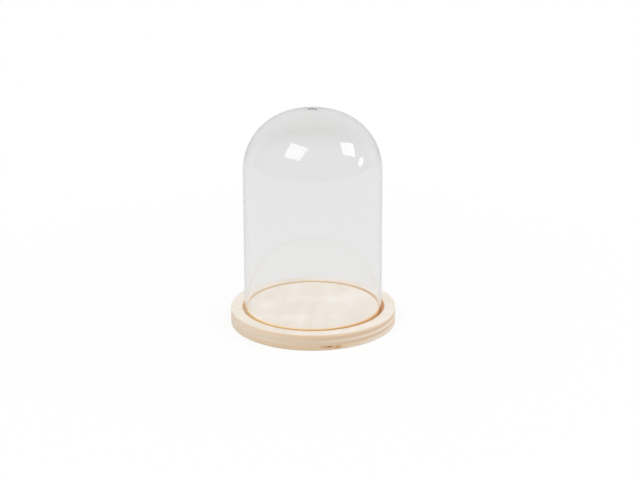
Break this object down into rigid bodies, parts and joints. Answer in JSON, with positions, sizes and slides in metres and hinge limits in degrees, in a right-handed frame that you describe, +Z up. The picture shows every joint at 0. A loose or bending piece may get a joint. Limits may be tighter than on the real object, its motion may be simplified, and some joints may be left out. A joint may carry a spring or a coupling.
{
  "type": "cheese dome",
  "caption": "Clear glass bell with a small hole in its crown, standing loose in the routed groove of a round plywood base. The bell lifts straight off to uncover the board.",
  "frame": {"origin": "middle of the base's underside, on the surface that it stands on", "axes": "+Z up along the axis of the dome and base; X and Y are level, with the face veneers' grain along Y"},
  "size_m": [0.15, 0.15, 0.2005],
  "materials": {
    "clear_glass": "clear blown glass with a ground rim",
    "face_veneer": "pale rotary-cut veneer, sanded and left matt",
    "crossband_veneer": "cross-grained veneer, its end grain darker at the sawn edge",
    "core_veneer": "pale veneer, sawn edge"
  },
  "bodies": {
    "base": {"deck_face_veneer": "face_veneer", "rim_face_veneer": "face_veneer", "deck_crossband": "crossband_veneer", "rim_crossband": "crossband_veneer", "core_veneer": "core_veneer", "lower_crossband": "crossband_veneer", "bottom_face_veneer": "face_veneer"},
    "dome": {"glass_dome": "clear_glass"}
  },
  "joints": [
    {"name": "dome_lift", "type": "slide", "parent": "base", "child": "dome", "axis": [0, 0, 1], "range_m": [0, 0.2]}
  ]
}
